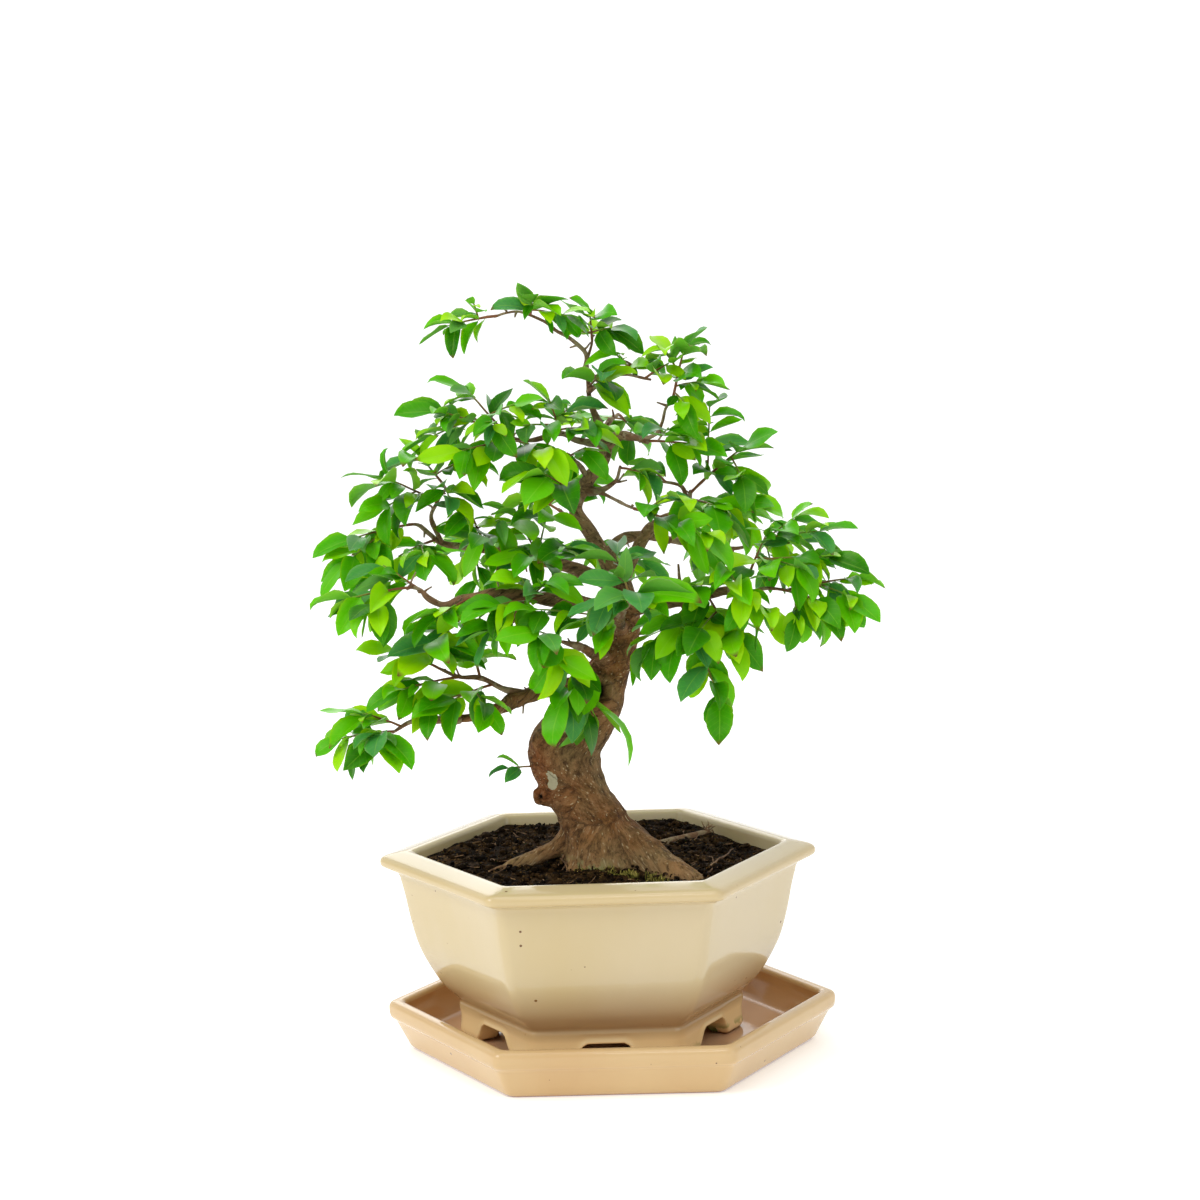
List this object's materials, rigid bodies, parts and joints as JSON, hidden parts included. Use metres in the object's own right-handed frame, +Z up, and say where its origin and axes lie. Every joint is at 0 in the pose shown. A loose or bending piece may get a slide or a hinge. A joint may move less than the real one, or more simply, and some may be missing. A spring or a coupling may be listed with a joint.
{
  "type": "bonsai tree in a pot with saucer",
  "caption": "Small leafy bonsai tree with a bent, swollen trunk and spreading surface roots, in a glazed hexagonal pot on low corner feet that stands in a matching hexagonal saucer.",
  "frame": {"origin": "centre of the saucer's flat underside, which is the plane the whole thing stands on", "axes": "+Z up; -Y towards the front of the tree, the side it is seen from; +X to the right seen from the front, through a corner of the saucer"},
  "size_m": [0.311, 0.2374, 0.4334],
  "materials": {
    "saucer_glaze": "gloss",
    "pot_glaze": "gloss",
    "net_plastic": "matte",
    "soil": "matte",
    "bark": "matte",
    "leaf": "satin"
  },
  "bodies": {
    "root": {"saucer": "saucer_glaze", "pot": "pot_glaze", "drain_net": "net_plastic", "soil": "soil", "trunk": "bark", "spray_apex_tip": "leaf", "spray_apex_arch": "leaf", "spray_crown": "leaf", "spray_crown_side": "leaf", "spray_apex_front": "leaf", "spray_top_right_low": "leaf", "spray_top_right": "leaf", "spray_upper_left_tip": "leaf", "spray_upper_left_top": "leaf", "spray_upper_left_low": "leaf", "spray_upper_left_right": "leaf", "spray_left_twig": "leaf", "spray_left_top": "leaf", "spray_left_far": "leaf", "spray_far_left_upper": "leaf", "spray_far_left_inner": "leaf", "spray_far_left_lower": "leaf", "spray_far_left_mid": "leaf", "spray_low_left_top": "leaf", "spray_low_left_mid": "leaf", "spray_low_left_rise": "leaf", "spray_low_left_front": "leaf", "spray_lowest_upper": "leaf", "spray_lowest_tip": "leaf", "spray_front_pair": "leaf", "spray_front_mid": "leaf", "spray_front_left": "leaf", "spray_front_hang": "leaf", "spray_mid_left": "leaf", "spray_mid_left_out": "leaf", "spray_inner": "leaf", "spray_inner_left": "leaf", "spray_front_high": "leaf", "spray_right_fork": "leaf", "spray_fork_left": "leaf", "spray_fork_right": "leaf", "spray_upper_right": "leaf", "spray_stub": "leaf", "spray_long_thin": "leaf", "spray_right_high": "leaf", "spray_riser": "leaf", "spray_right_tip": "leaf", "spray_right_droop": "leaf", "spray_right_front": "leaf", "spray_low_right": "leaf", "spray_low_right_front": "leaf", "spray_low_right_hang": "leaf", "spray_right_level": "leaf", "spray_sprout": "leaf", "spray_back_mid": "leaf", "spray_back_upper": "leaf", "spray_back_top": "leaf", "spray_back_right": "leaf", "spray_back_left": "leaf"}
  },
  "joints": []
}
